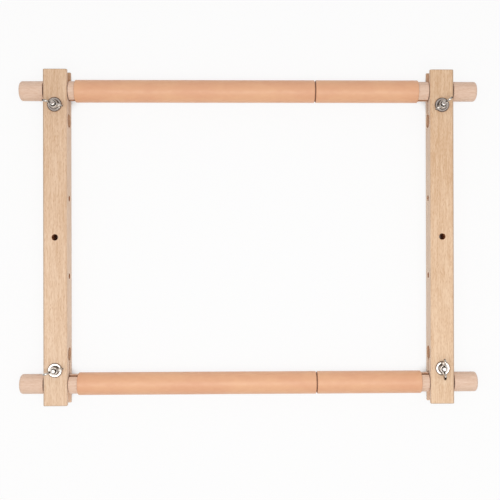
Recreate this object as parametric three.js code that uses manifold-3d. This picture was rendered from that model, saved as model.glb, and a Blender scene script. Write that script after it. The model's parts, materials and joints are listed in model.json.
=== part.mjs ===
// A rectangular embroidery frame: two side bars whose forked ends clamp the necks of two turned rollers,
// and split-tube clips that hold the fabric to them. Millimetres, lying flat with its front up (+Z),
// +X to the right and +Y to the top roller. The origin is under the middle, at the backs of the bolt heads.

import * as THREE from 'three';
import { mergeVertices } from 'three/addons/utils/BufferGeometryUtils.js';
import Module from 'manifold-3d';

const wasm = await Module();
wasm.setup();

// Clips, the parts of a split tube that snap over the rollers
const longClipLength = 212.5;
const shortClipLength = 91.5;
const clipGap = 0.8;
const clipWall = 1.05;
const clipFitGap = 0.2;
const clipMouthAngle = 110;
const clipEndRounding = 0.8;

// Rollers
const rollerDiameter = 17.5;
const rollerFreeLength = 14;
const rollerSpacing = 260;
const neckDiameter = 12;
const knobLength = 21.6;
const knobEndRounding = 2.3;
const knobEndCrown = 0.5;
const shoulderChamfer = 0.4;
const shoulderGap = 0.7;
const grooveWidth = 2;
const grooveDepth = 5;

// How far each pair of clips sits from the middle of its roller, how much further left the bottom pair
// was cut apart, and where each groove has turned to
const topClipShift = -1.8;
const bottomClipShift = 0.5;
const bottomCutShift = 1.5;
const topGrooveAngle = 76;
const bottomGrooveAngle = 60;

// Side bars
const barWidth = 21;
const barDepth = 20;
const barArris = 1.8;
const forkReach = 18;
const neckClearance = 0.25;
const kerfWidth = 1.8;
const reliefDiameter = 12;
const reliefDistance = 26.3;
const standHoleDiameter = 5.5;
const pegHoleDiameter = 5;
const pegHoleDepth = 12;
const pegHoleSpacing = 69;

// Clamp bolts, washers and wing nuts
const boltDiameter = 4;
const boltDistance = 13.5;
const boltHeadDiameter = 11;
const boltHeadHeight = 2.5;
const boltHeadRim = 0.6;
const boltEndChamfer = 0.5;
const boltPastNut = 2;
const squareNeckSide = 4.4;
const squareNeckDepth = 3;
const boltHoleClearance = 0.3;
const washerDiameter = 12.5;
const washerThickness = 1;
const washerHoleClearance = 0.2;
const nutBaseDiameter = 8;
const nutTopDiameter = 7;
const nutHubHeight = 5;
const nutFootHeight = 0.8;
const nutBoreClearance = 0.2;
const wingSpan = 18.8;
const wingHeight = 10;
const wingThickness = 1.9;
const wingLobeRadius = 3.1;
const wingFootHeight = 0.9;
const wingEdgeRounding = 0.4;

// Where each wing nut has come to rest, in degrees about its bolt
const wingAngles = { top_left: -16.5, top_right: 36.5, bottom_left: 17, bottom_right: 91.3 };

// Sizes that follow from those above
const rollerRadius = rollerDiameter / 2;
const neckRadius = neckDiameter / 2;
const clipsLength = longClipLength + clipGap + shortClipLength;
const rollerBodyHalf = (clipsLength + rollerFreeLength) / 2;
const barInnerX = rollerBodyHalf + shoulderGap;
const barCentreX = barInnerX + barWidth / 2;
const knobStartX = barInnerX + barWidth + shoulderGap;
const rollerEndX = knobStartX + knobLength;
const rollerY = rollerSpacing / 2;
const barHalfLength = rollerY + forkReach;
const barBackZ = boltHeadHeight;
const rollerZ = barBackZ + barDepth / 2;
const barFrontZ = barBackZ + barDepth;
const nutBaseZ = barFrontZ + washerThickness;
const boltEndZ = nutBaseZ + nutHubHeight + boltPastNut;
const slotRadius = neckRadius + neckClearance;
const clipInnerRadius = rollerRadius + clipFitGap;
const clipOuterRadius = clipInnerRadius + clipWall;
const boltHoleRadius = boltDiameter / 2 + boltHoleClearance;

// How finely round shapes are divided, and how far a cutter runs past the face that it opens
const rollerSides = 40;
const clipArcSteps = 30;
const lipSteps = 4;
const endSteps = 3;
const holeSides = 24;
const smallSides = 20;
const cutterOverrun = 1;
const mergeDistance = 1e-4;

// Materials
const beech = new THREE.MeshStandardMaterial({ color: 0xdcb896, roughness: 0.65, metalness: 0 });
const paleWood = new THREE.MeshStandardMaterial({ color: 0xdfc4ae, roughness: 0.6, metalness: 0 });
const peachPlastic = new THREE.MeshStandardMaterial({ color: 0xe6ac84, roughness: 0.5, metalness: 0 });
const zincPlate = new THREE.MeshStandardMaterial({ color: 0xc9cbcc, roughness: 0.3, metalness: 1 });

function radians(degrees) {
  return (degrees * Math.PI) / 180;
}

// Points along an arc, both ends included, with angles in degrees
function arcPoints(centreX, centreY, radius, from, to, steps) {
  return Array.from({ length: steps + 1 }, (_, i) => {
    const angle = radians(from + ((to - from) * i) / steps);
    return new THREE.Vector2(centreX + radius * Math.cos(angle), centreY + radius * Math.sin(angle));
  });
}

// A closed geometry as a solid that can be joined and cut
function solidOf(geometry) {
  const bare = geometry.clone();
  bare.deleteAttribute('normal');
  bare.deleteAttribute('uv');
  const merged = mergeVertices(bare, mergeDistance);
  const corners = merged.index.array;
  const kept = [];
  for (let i = 0; i < corners.length; i += 3) {
    const [a, b, c] = [corners[i], corners[i + 1], corners[i + 2]];
    if (a !== b && b !== c && c !== a) kept.push(a, b, c);
  }
  return new wasm.Manifold(
    new wasm.Mesh({
      numProp: 3,
      vertProperties: new Float32Array(merged.attributes.position.array),
      triVerts: new Uint32Array(kept),
    }),
  );
}

// A solid back as a geometry
function geometryOf(solid) {
  const mesh = solid.getMesh();
  const geometry = new THREE.BufferGeometry();
  geometry.setAttribute('position', new THREE.BufferAttribute(mesh.vertProperties, 3));
  geometry.setIndex(new THREE.BufferAttribute(mesh.triVerts, 1));
  geometry.computeVertexNormals();
  return geometry;
}

function cylinderAlongZ(radius, from, to, sides) {
  const geometry = new THREE.CylinderGeometry(radius, radius, to - from, sides);
  return geometry.rotateX(Math.PI / 2).translate(0, 0, (from + to) / 2);
}

// An outline drawn in Z and Y, carried along X about the middle
function prismAlongX(points, length) {
  const geometry = new THREE.ExtrudeGeometry(new THREE.Shape(points), { depth: length, bevelEnabled: false });
  return geometry.translate(0, 0, -length / 2).rotateY(-Math.PI / 2);
}

// Rings of points with one count, joined in order and closed by a face at each end.
// Each ring is an outline in Y and Z, with the place along X where it stands.
function loftAlongX(rings) {
  const count = rings[0].outline.length;
  const positions = rings.flatMap(({ x, outline }) => outline.flatMap((p) => [x, p.x, p.y]));
  const indices = [];
  for (let ring = 0; ring + 1 < rings.length; ring += 1) {
    for (let i = 0; i < count; i += 1) {
      const next = (i + 1) % count;
      const [a, b] = [ring * count + i, ring * count + next];
      indices.push(a, b, a + count, b, b + count, a + count);
    }
  }
  const last = (rings.length - 1) * count;
  for (const [a, b, c] of THREE.ShapeUtils.triangulateShape(rings[0].outline, [])) {
    indices.push(a, c, b);
    indices.push(last + a, last + b, last + c);
  }
  const geometry = new THREE.BufferGeometry();
  geometry.setAttribute('position', new THREE.Float32BufferAttribute(positions, 3));
  geometry.setIndex(indices);
  geometry.computeVertexNormals();
  return geometry;
}

// The side bars: a square-cut bar with eased edges and a fork at each end.
// The fork is one keyhole outline: an open slot round the roller's neck, then a thin kerf past the clamp bolt
// to a relief hole, so that the bolt can draw the two jaws together.
function keyholeOutline() {
  const kerfHalf = kerfWidth / 2;
  const slotGap = THREE.MathUtils.radToDeg(Math.asin(kerfHalf / slotRadius));
  const reliefGap = THREE.MathUtils.radToDeg(Math.asin(kerfHalf / (reliefDiameter / 2)));
  const openEnd = forkReach + cutterOverrun;
  return [
    new THREE.Vector2(-slotRadius, openEnd),
    ...arcPoints(0, 0, slotRadius, 180, 270 - slotGap, holeSides / 3),
    ...arcPoints(0, -reliefDistance, reliefDiameter / 2, 90 + reliefGap, 450 - reliefGap, holeSides),
    ...arcPoints(0, 0, slotRadius, 270 + slotGap, 360, holeSides / 3),
    new THREE.Vector2(slotRadius, openEnd),
  ];
}

function barBlank() {
  const x = barWidth / 2 - barArris;
  const z = barDepth / 2 - barArris;
  const outline = [
    ...arcPoints(x, z, barArris, 0, 90, lipSteps),
    ...arcPoints(-x, z, barArris, 90, 180, lipSteps),
    ...arcPoints(-x, -z, barArris, 180, 270, lipSteps),
    ...arcPoints(x, -z, barArris, 270, 360, lipSteps),
  ];
  const length = 2 * barHalfLength;
  const options = { depth: length, bevelEnabled: false };
  const geometry = new THREE.ExtrudeGeometry(new THREE.Shape(outline), options);
  return geometry.translate(0, 0, -length / 2).rotateX(Math.PI / 2);
}

// inward is +1 where the frame's middle lies towards +X, and -1 where it lies towards -X
function sideBar(inward) {
  const halfDepth = barDepth / 2;
  let bar = solidOf(barBlank());
  for (const end of [1, -1]) {
    const fork = prismAlongX(keyholeOutline(), barWidth + 2 * cutterOverrun);
    if (end < 0) fork.rotateX(Math.PI);
    fork.translate(0, end * rollerY, 0);
    const boltY = end * (rollerY - boltDistance);
    const from = -halfDepth - cutterOverrun;
    const boltHole = cylinderAlongZ(boltHoleRadius, from, -from, holeSides).translate(0, boltY, 0);
    const recessSide = squareNeckSide + 2 * boltHoleClearance;
    const recessDepth = squareNeckDepth + boltHoleClearance + cutterOverrun;
    const recess = new THREE.BoxGeometry(recessSide, recessSide, recessDepth);
    recess.translate(0, boltY, from + recessDepth / 2);
    const pegHole = cylinderAlongZ(pegHoleDiameter / 2, -pegHoleDepth, cutterOverrun, smallSides);
    pegHole.rotateY((inward * Math.PI) / 2);
    pegHole.translate((inward * barWidth) / 2, (end * pegHoleSpacing) / 2, 0);
    for (const cutter of [fork, boltHole, recess, pegHole]) bar = bar.subtract(solidOf(cutter));
  }
  const standEnd = halfDepth + cutterOverrun;
  const standHole = cylinderAlongZ(standHoleDiameter / 2, -standEnd, standEnd, holeSides);
  return geometryOf(bar.subtract(solidOf(standHole)));
}

// The rollers: one turned piece with a long body, and a neck for the fork and a domed knob at each end.
// A saw groove runs along the body.
function rollerProfile() {
  const crownX = rollerEndX - knobEndCrown;
  const cornerRadius = rollerRadius - knobEndRounding;
  const corner = arcPoints(crownX - knobEndRounding, cornerRadius, knobEndRounding, 90, 0, lipSteps);
  const half = [
    [rollerBodyHalf - shoulderChamfer, rollerRadius],
    [rollerBodyHalf, rollerRadius - shoulderChamfer],
    [rollerBodyHalf, neckRadius],
    [knobStartX, neckRadius],
    [knobStartX, rollerRadius - shoulderChamfer],
    [knobStartX + shoulderChamfer, rollerRadius],
    ...corner.map((p) => [p.x, p.y]),
    [rollerEndX, 0],
  ];
  const right = half.map(([x, radius]) => new THREE.Vector2(radius, x));
  const left = half.map(([x, radius]) => new THREE.Vector2(radius, -x)).reverse();
  return [...left, ...right];
}

// grooveAngle is measured from the front towards the middle of the frame, which lies towards inwardY
function roller(grooveAngle, inwardY) {
  const turned = new THREE.LatheGeometry(rollerProfile(), rollerSides).rotateZ(-Math.PI / 2);
  const grooveHeight = grooveDepth + cutterOverrun;
  const groove = new THREE.BoxGeometry(2 * rollerBodyHalf, grooveWidth, grooveHeight);
  groove.translate(0, 0, rollerRadius + cutterOverrun - grooveHeight / 2);
  groove.rotateX(-inwardY * radians(grooveAngle));
  return geometryOf(solidOf(turned).subtract(solidOf(groove)));
}

// The clips: a tube with a mouth along its back, round lips and rounded outer end edges.
// The outline runs round the outside, over one lip, back round the inside and over the other lip.
function clipOutline(outerRadius) {
  const lipAngle = clipMouthAngle / 2;
  const middleRadius = (outerRadius + clipInnerRadius) / 2;
  const lipRadius = (outerRadius - clipInnerRadius) / 2;
  const back = -90;
  const lipCentre = (angle) => arcPoints(0, 0, middleRadius, angle, angle, 1)[0].toArray();
  const first = back + lipAngle;
  const second = back + 360 - lipAngle;
  return [
    ...arcPoints(0, 0, outerRadius, first, second, clipArcSteps),
    ...arcPoints(...lipCentre(second), lipRadius, second, second + 180, lipSteps).slice(1, -1),
    ...arcPoints(0, 0, clipInnerRadius, second, first, clipArcSteps),
    ...arcPoints(...lipCentre(first), lipRadius, first + 180, first + 360, lipSteps).slice(1, -1),
  ];
}

function clip(length) {
  const rounded = arcPoints(clipEndRounding, -clipEndRounding, clipEndRounding, 180, 90, endSteps);
  const start = rounded.map((p) => ({ x: p.x, outline: clipOutline(clipOuterRadius + p.y) }));
  const end = start.map(({ x, outline }) => ({ x: length - x, outline })).reverse();
  return loftAlongX([...start, ...end]);
}

// The clamp bolts: a domed head with a square neck under it, standing up from the back of the bar
function clampBolt() {
  const headRadius = boltHeadDiameter / 2;
  const domeHeight = boltHeadHeight - boltHeadRim;
  const sphere = (headRadius ** 2 + domeHeight ** 2) / (2 * domeHeight);
  const reach = THREE.MathUtils.radToDeg(Math.asin(headRadius / sphere));
  const profile = [
    ...arcPoints(0, sphere, sphere, 270, 270 + reach, lipSteps),
    new THREE.Vector2(headRadius, boltHeadHeight),
    new THREE.Vector2(boltDiameter / 2, boltHeadHeight),
    new THREE.Vector2(boltDiameter / 2, boltEndZ - boltEndChamfer),
    new THREE.Vector2(boltDiameter / 2 - boltEndChamfer, boltEndZ),
    new THREE.Vector2(0, boltEndZ),
  ];
  profile[0].x = 0;
  const turned = new THREE.LatheGeometry(profile, smallSides).rotateX(Math.PI / 2);
  const neckLength = squareNeckDepth + boltHeadRim / 2;
  const neck = new THREE.BoxGeometry(squareNeckSide, squareNeckSide, neckLength);
  neck.translate(0, 0, boltHeadHeight + squareNeckDepth - neckLength / 2);
  return geometryOf(solidOf(turned).add(solidOf(neck)));
}

function washer() {
  const hole = boltDiameter / 2 + washerHoleClearance;
  const ring = [
    new THREE.Vector2(hole, 0),
    new THREE.Vector2(washerDiameter / 2, 0),
    new THREE.Vector2(washerDiameter / 2, washerThickness),
    new THREE.Vector2(hole, washerThickness),
    new THREE.Vector2(hole, 0),
  ];
  return geometryOf(solidOf(new THREE.LatheGeometry(ring, holeSides).rotateX(Math.PI / 2)));
}

// The wing nuts: a tapered hub with two ears, each a round lobe drawn down to the hub by its tangents
function tangentAngle(point, centre, radius, side) {
  const toCentre = centre.clone().sub(point);
  const spread = Math.asin(radius / toCentre.length());
  return THREE.MathUtils.radToDeg(toCentre.angle() + side * (spread + Math.PI / 2));
}

function wingOutline() {
  const root = (boltDiameter + nutBaseDiameter) / 4;
  const lobe = new THREE.Vector2(wingSpan / 2 - wingLobeRadius, wingHeight - wingLobeRadius);
  const foot = new THREE.Vector2(root, wingFootHeight);
  const shoulder = new THREE.Vector2(root, nutHubHeight - wingEdgeRounding);
  const from = tangentAngle(foot, lobe, wingLobeRadius, -1);
  const to = tangentAngle(shoulder, lobe, wingLobeRadius, 1);
  return [foot, ...arcPoints(lobe.x, lobe.y, wingLobeRadius, from, to, 2 * lipSteps), shoulder];
}

function wingNut() {
  const bore = boltDiameter / 2 + nutBoreClearance;
  const hubRing = [
    new THREE.Vector2(0, 0),
    new THREE.Vector2(nutBaseDiameter / 2, 0),
    new THREE.Vector2(nutBaseDiameter / 2, nutFootHeight),
    new THREE.Vector2(nutTopDiameter / 2, nutHubHeight),
    new THREE.Vector2(0, nutHubHeight),
  ];
  let nut = solidOf(new THREE.LatheGeometry(hubRing, holeSides).rotateX(Math.PI / 2));
  for (const turn of [0, Math.PI]) {
    const wing = new THREE.ExtrudeGeometry(new THREE.Shape(wingOutline()), {
      depth: wingThickness - 2 * wingEdgeRounding,
      bevelThickness: wingEdgeRounding,
      bevelSize: wingEdgeRounding,
      bevelOffset: -wingEdgeRounding,
      bevelSegments: 1,
    });
    wing.translate(0, 0, wingEdgeRounding - wingThickness / 2).rotateX(Math.PI / 2).rotateZ(turn);
    nut = nut.add(solidOf(wing));
  }
  const boreCutter = cylinderAlongZ(bore, -cutterOverrun, wingHeight, holeSides);
  return geometryOf(nut.subtract(solidOf(boreCutter)));
}

// The assembly
const frame = new THREE.Group();

function place(name, geometry, material, x, y, z, turn = 0) {
  const mesh = new THREE.Mesh(geometry, material);
  mesh.name = name;
  mesh.position.set(x, y, z);
  mesh.rotation.z = radians(turn);
  frame.add(mesh);
}

const sides = { left: -1, right: 1 };
const rows = {
  top: { up: 1, clipShift: topClipShift, cutShift: 0, grooveAngle: topGrooveAngle },
  bottom: { up: -1, clipShift: bottomClipShift, cutShift: bottomCutShift, grooveAngle: bottomGrooveAngle },
};

for (const [side, across] of Object.entries(sides)) {
  place(`${side}_bar`, sideBar(-across), beech, across * barCentreX, 0, rollerZ);
}

for (const [row, { up, clipShift, cutShift, grooveAngle }] of Object.entries(rows)) {
  const y = up * rollerY;
  place(`${row}_roller`, roller(grooveAngle, -up), paleWood, 0, y, rollerZ);
  const longLength = longClipLength - cutShift;
  const longStart = clipShift - clipsLength / 2;
  const shortStart = longStart + longLength + clipGap;
  place(`${row}_long_clip`, clip(longLength), peachPlastic, longStart, y, rollerZ);
  place(`${row}_short_clip`, clip(shortClipLength + cutShift), peachPlastic, shortStart, y, rollerZ);
  for (const [side, across] of Object.entries(sides)) {
    const x = across * barCentreX;
    const boltY = up * (rollerY - boltDistance);
    const corner = `${row}_${side}`;
    place(`clamp_bolt_${corner}`, clampBolt(), zincPlate, x, boltY, 0);
    place(`washer_${corner}`, washer(), zincPlate, x, boltY, barFrontZ);
    place(`wing_nut_${corner}`, wingNut(), zincPlate, x, boltY, nutBaseZ, wingAngles[corner]);
  }
}

export default frame;
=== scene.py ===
import json
import math

import bmesh
import bpy
import numpy as np
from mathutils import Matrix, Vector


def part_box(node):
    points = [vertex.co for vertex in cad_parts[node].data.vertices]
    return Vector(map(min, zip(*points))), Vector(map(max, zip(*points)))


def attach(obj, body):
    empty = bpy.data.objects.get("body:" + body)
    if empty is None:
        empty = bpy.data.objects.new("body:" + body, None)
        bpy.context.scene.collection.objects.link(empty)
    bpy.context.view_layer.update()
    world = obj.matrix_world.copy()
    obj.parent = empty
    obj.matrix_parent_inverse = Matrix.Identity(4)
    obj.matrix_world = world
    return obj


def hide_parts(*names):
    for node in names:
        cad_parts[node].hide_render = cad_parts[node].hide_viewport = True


# A rectangular embroidery frame, lying flat with its front up: two forked beech bars, two turned rollers,
# four split-tube clips, and a bolt, washer and wing nut at each corner
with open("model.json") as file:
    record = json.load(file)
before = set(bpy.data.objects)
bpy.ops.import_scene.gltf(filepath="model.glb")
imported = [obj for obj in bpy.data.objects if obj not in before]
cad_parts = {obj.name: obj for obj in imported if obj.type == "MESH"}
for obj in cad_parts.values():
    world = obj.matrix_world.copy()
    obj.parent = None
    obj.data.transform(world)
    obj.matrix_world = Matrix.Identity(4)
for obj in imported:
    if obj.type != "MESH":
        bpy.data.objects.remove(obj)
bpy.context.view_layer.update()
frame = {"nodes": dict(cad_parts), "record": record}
print("frame loaded,", len(frame["nodes"]), "nodes")

mm = 0.001  # shapes are worked out in millimetres, and the scene is in metres
scene = bpy.context.scene

# Camera: above the frame, very slightly turned, with the place in the picture where its axis falls
view = {
    "picture": 500,  # pixels each way
    "focal": 796.8,  # pixels
    "centre": (267.3, 242.1),  # pixels from the left and from the top
    "place": (0.0014, -0.0057, 0.7243),
    "turn": (0.094, -1.164, -0.135),  # degrees
    "sensor": 36,
}


def makeCamera():
    camera = bpy.data.cameras.new("camera")
    camera.sensor_width = view["sensor"]
    camera.lens = view["focal"] / view["picture"] * view["sensor"]
    camera.shift_x = 0.5 - view["centre"][0] / view["picture"]
    camera.shift_y = view["centre"][1] / view["picture"] - 0.5
    camera.clip_start = 0.01
    holder = bpy.data.objects.new("camera", camera)
    holder.location = view["place"]
    holder.rotation_euler = [math.radians(angle) for angle in view["turn"]]
    scene.collection.objects.link(holder)
    scene.camera = holder


makeCamera()
print("camera placed")


# Sizes from the frame, in millimetres: the lowest and highest corners of a node
def corners(node):
    low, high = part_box(node)
    return np.array(low) / mm, np.array(high) / mm


def middleOf(node):
    return sum(corners(node)) / 2


def bodyOf(node):
    return next(body for body, nodes in frame["record"]["behaviour"]["bodies"].items() if node in nodes)


# Points on an arc: the centre plus the radius times the cosine and sine of evenly spread angles, in degrees
def arc(centreX, centreY, radius, fromAngle, toAngle, steps):
    angles = np.radians(np.linspace(fromAngle, toAngle, steps + 1))
    return np.stack([centreX + radius * np.cos(angles), centreY + radius * np.sin(angles)], axis=1)


# A rectangle about a centre whose corners are quarter circles, walked round anticlockwise
def roundedRectangle(halfWidth, halfHeight, radius, steps, centre=(0, 0)):
    x, y = halfWidth - radius, halfHeight - radius
    quarters = [(x, y, 0), (-x, y, 90), (-x, -y, 180), (x, -y, 270)]
    outline = [arc(cx, cy, radius, start, start + 90, steps) for cx, cy, start in quarters]
    return np.concatenate(outline) + centre


# Angles evenly spread round an axis
def around(sides):
    return np.linspace(0, 2 * np.pi, sides, endpoint=False)


# Turning: a profile point (radius, height) at an angle round Z stands at x = radius cos, y = radius sin,
# z = height. Gives a grid of points, rows along the profile and columns round the axis.
def turned(profile, sides):
    angles = around(sides)
    radius, height = profile[:, :1], np.repeat(profile[:, 1:], sides, axis=1)
    return np.stack([radius * np.cos(angles), radius * np.sin(angles), height], axis=-1)


# Carrying: one closed outline, in Y and Z, for each place along X
def carried(outlines, places):
    along = np.repeat(np.asarray(places, float)[:, None], outlines.shape[1], axis=1)
    return np.concatenate([along[..., None], outlines], axis=-1)


# A grid of points as a closed mesh. Quads join each row to the next, and every row meets its own start.
# The rows meet each other when wrapped, a capped grid gets a flat face at each end, and otherwise the
# first and last rows already lie on a point or a line, which the merge closes.
def surface(name, rows, wrapped=False, capped=False):
    index = np.arange(rows[..., 0].size).reshape(rows.shape[:2])
    beside = np.roll(index, -1, axis=1)
    quads = np.stack([index, beside, np.roll(beside, -1, axis=0), np.roll(index, -1, axis=0)], axis=-1)
    faces = (quads if wrapped else quads[:-1]).reshape(-1, 4).tolist()
    if capped:
        faces += [index[0, ::-1].tolist(), index[-1].tolist()]
    mesh = bpy.data.meshes.new(name)
    mesh.from_pydata((rows.reshape(-1, 3) * mm).tolist(), [], faces)
    work = bmesh.new()
    work.from_mesh(mesh)
    bmesh.ops.remove_doubles(work, verts=work.verts, dist=0.001 * mm)
    bmesh.ops.recalc_face_normals(work, faces=work.faces)
    work.to_mesh(mesh)
    work.free()
    mesh.shade_smooth()
    piece = bpy.data.objects.new(name, mesh)
    scene.collection.objects.link(piece)
    return piece


# The piece's modifiers become its mesh
def settle(piece):
    bpy.context.view_layer.update()
    graph = bpy.context.evaluated_depsgraph_get()
    finished = bpy.data.meshes.new_from_object(piece.evaluated_get(graph), depsgraph=graph)
    piece.modifiers.clear()
    piece.data = finished


# The cutter is taken out of the piece, and the walls that it leaves have the material
def cut(piece, cutter, material):
    cutter.data.materials.append(material)
    boolean = piece.modifiers.new("cut", "BOOLEAN")
    boolean.operation = "DIFFERENCE"
    boolean.solver = "EXACT"
    boolean.material_mode = "TRANSFER"
    boolean.object = cutter
    settle(piece)
    bpy.data.objects.remove(cutter)


# Beside rounded edges, flat faces keep their own shading
def shadeFlats(piece, weight):
    weighted = piece.modifiers.new("flat shading", "WEIGHTED_NORMAL")
    weighted.weight = weight
    weighted.keep_sharp = False


# Edges sharper than 35 degrees get a small round
def easeEdges(piece, width):
    bevel = piece.modifiers.new("eased edges", "BEVEL")
    bevel.width = width * mm
    bevel.segments = 2
    bevel.limit_method = "ANGLE"
    bevel.angle_limit = math.radians(35)
    bevel.use_clamp_overlap = False
    bevel.miter_outer = "MITER_ARC"
    settle(piece)
    piece.data.shade_smooth()
    shadeFlats(piece, 80)


# The piece stands for a node of the frame and moves with that node's body
def standFor(piece, node):
    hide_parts(node)
    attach(piece, bodyOf(node))


# An input takes another node's output or a plain value
def giveInputs(tree, node, inputs):
    for name, value in inputs.items():
        if isinstance(value, bpy.types.NodeSocket):
            tree.links.new(value, node.inputs[name])
        else:
            node.inputs[name].default_value = value


def addNode(tree, kind, inputs=None, **settings):
    node = tree.nodes.new(kind)
    for name, value in settings.items():
        setattr(node, name, value)
    giveInputs(tree, node, inputs or {})
    return node


def calc(tree, operation, *values, clamp=False):
    inputs = dict(enumerate(values))
    return addNode(tree, "ShaderNodeMath", inputs, operation=operation, use_clamp=clamp).outputs[0]


def times(tree, first, second):
    return calc(tree, "MULTIPLY", first, second)


def vectorCalc(tree, operation, *values, output=0):
    inputs = dict(enumerate(values))
    return addNode(tree, "ShaderNodeVectorMath", inputs, operation=operation).outputs[output]


def stretched(tree, vector, scale):
    return vectorCalc(tree, "MULTIPLY", vector, scale)


# A value from low to high as a smooth 0 to 1
def ramp(tree, value, low, high):
    inputs = {"Value": value, "From Min": low, "From Max": high}
    return addNode(tree, "ShaderNodeMapRange", inputs, interpolation_type="SMOOTHSTEP").outputs[0]


# A value from 0 to 1 as low to high
def spread(tree, value, low, high):
    return addNode(tree, "ShaderNodeMapRange", {"Value": value, "To Min": low, "To Max": high}).outputs[0]


# A mix node has its colours at inputs 6 and 7 and at output 2
def mixColours(tree, factor, first, second):
    inputs = {0: factor, 6: first, 7: second}
    return addNode(tree, "ShaderNodeMix", inputs, data_type="RGBA").outputs[2]


# A share of a tint over the colour, where the mask says
def tinted(tree, colour, mask, share, tint):
    return mixColours(tree, times(tree, mask, share), colour, tint)


def noise(tree, vector, scale, detail=2.0, roughness=0.5):
    inputs = {"Vector": vector, "Scale": scale, "Detail": detail, "Roughness": roughness}
    return addNode(tree, "ShaderNodeTexNoise", inputs).outputs["Fac"]


# A colour seen on a screen, three numbers up to 255, as a shader's colour
def paint(red, green, blue):
    shares = np.array([red, green, blue]) / 255
    linear = np.where(shares <= 0.04045, shares / 12.92, ((shares + 0.055) / 1.055) ** 2.4)
    return (*linear.tolist(), 1.0)


def newGroup(name, inputs, outputs):
    group = bpy.data.node_groups.new(name, "ShaderNodeTree")
    for label, kind in inputs.items():
        group.interface.new_socket(name=label, in_out="INPUT", socket_type="NodeSocket" + kind)
    for label in outputs:
        group.interface.new_socket(name=label, in_out="OUTPUT", socket_type="NodeSocketFloat")
    return group, group.nodes.new("NodeGroupInput"), group.nodes.new("NodeGroupOutput")


def useGroup(tree, group, inputs):
    return addNode(tree, "ShaderNodeGroup", inputs, node_tree=group).outputs


# Parts of the wood's figure: how often each repeats per millimetre, twice across the grain and once along it
figureLook = {
    "wander": (0.05, 0.05, 0.008),
    "coarse": (0.9, 0.9, 0.05),
    "dashed": (1.7, 1.7, 0.28),
    "fleck": (1.0, 1.0, 0.17),
    "blotch": (0.12, 0.12, 0.02),
    "coarseShare": 0.45,  # of the fibre
    "fleckEdge": (0.30, 0.16),  # distances from a cell's middle between which its fleck comes in
    "flecksKept": (0.35, 0.75),  # chance values between which a cell comes to have a fleck
}


# The figure of beech, in a block whose grain runs along Z and whose pith is the Z axis.
# Rings: a wave of the distance from the pith, which wanders with a slow noise.
# Fibre: noise drawn out along the grain, at two lengths. Fleck: the short brown dashes, cells drawn out
# along the grain, of which the middles of some are kept. Blotch: slow patches of colour.
def makeWoodFigure():
    group, given, result = newGroup(
        "woodFigure",
        {"Vector": "Vector", "Ring width": "Float", "Wander": "Float", "Fleck size": "Float"},
        ["Rings", "Fibre", "Fleck", "Blotch"],
    )
    place = stretched(group, given.outputs["Vector"], (1 / mm, 1 / mm, 1 / mm))
    slow = stretched(group, place, figureLook["wander"])
    across = stretched(group, place, (1, 1, 0))
    distance = vectorCalc(group, "LENGTH", across, output="Value")
    wander = times(group, noise(group, slow, 1.0, 3.0), given.outputs["Wander"])
    turns = calc(group, "DIVIDE", calc(group, "ADD", distance, wander), given.outputs["Ring width"])
    wave = calc(group, "SINE", times(group, turns, 2 * math.pi))
    coarse = noise(group, stretched(group, place, figureLook["coarse"]), 1.0, 3.0, 0.6)
    dashed = noise(group, stretched(group, place, figureLook["dashed"]), 1.0, roughness=0.6)
    coarse = times(group, coarse, figureLook["coarseShare"])
    dashed = times(group, dashed, 1 - figureLook["coarseShare"])
    sized = stretched(group, place, given.outputs["Fleck size"])
    inputs = {"Vector": stretched(group, sized, figureLook["fleck"]), "Scale": 1.0}
    cells = addNode(group, "ShaderNodeTexVoronoi", inputs).outputs
    middle = ramp(group, cells["Distance"], *figureLook["fleckEdge"])
    chance = addNode(group, "ShaderNodeSeparateColor", {0: cells["Color"]}).outputs[0]
    giveInputs(group, result, {
        "Rings": ramp(group, wave, -1.0, 1.0),
        "Fibre": calc(group, "ADD", coarse, dashed),
        "Fleck": times(group, middle, ramp(group, chance, *figureLook["flecksKept"])),
        "Blotch": noise(group, stretched(group, place, figureLook["blotch"]), 1.0),
    })
    return group


# The values between which each mask of wear and of painted shade goes from 0 to 1
wearAndShadeLimits = {"edge": (0.01, 0.12), "crevice": (0.35, 0.8), "corner": (0.12, 0.45)}


# Masks of wear and of painted shade. Edge: how far a normal averaged over the given radius turns from the
# face's own.
# Crevice: where most of the near surroundings is closed off, used to paint shade into crevices. Corner: where
# a fair part of them is, as along the foot of something that stands on the surface, used to paint shade
# there.
def makeWearAndShadeMasks():
    inputs = {"Edge radius": "Float", "Crevice reach": "Float"}
    group, given, result = newGroup("wearAndShadeMasks", inputs, ["Edge", "Crevice", "Corner"])
    radius = {"Radius": given.outputs["Edge radius"]}
    rounded = addNode(group, "ShaderNodeBevel", radius, samples=6).outputs[0]
    own = addNode(group, "ShaderNodeNewGeometry").outputs["Normal"]
    alike = vectorCalc(group, "DOT_PRODUCT", rounded, own, output="Value")
    bent = calc(group, "SUBTRACT", 1.0, alike)
    reach = {"Distance": given.outputs["Crevice reach"]}
    clear = addNode(group, "ShaderNodeAmbientOcclusion", reach, samples=8).outputs["AO"]
    closed = calc(group, "SUBTRACT", 1.0, clear)
    giveInputs(group, result, {
        "Edge": ramp(group, bent, *wearAndShadeLimits["edge"]),
        "Crevice": ramp(group, closed, *wearAndShadeLimits["crevice"]),
        "Corner": ramp(group, closed, *wearAndShadeLimits["corner"]),
    })
    return group


# Even mottling at three sizes, for finishes with no grain
def makeMottle():
    inputs = {"Vector": "Vector", "Size": "Float"}
    group, given, result = newGroup("mottle", inputs, ["Patch", "Grain", "Speck"])
    place = vectorCalc(group, "DIVIDE", given.outputs["Vector"], given.outputs["Size"])
    giveInputs(group, result, {
        "Patch": ramp(group, noise(group, place, 0.25), 0.3, 0.7),
        "Grain": ramp(group, noise(group, place, 1.5, 3.0), 0.3, 0.7),
        "Speck": noise(group, place, 9.0, roughness=0.7),
    })
    return group


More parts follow.
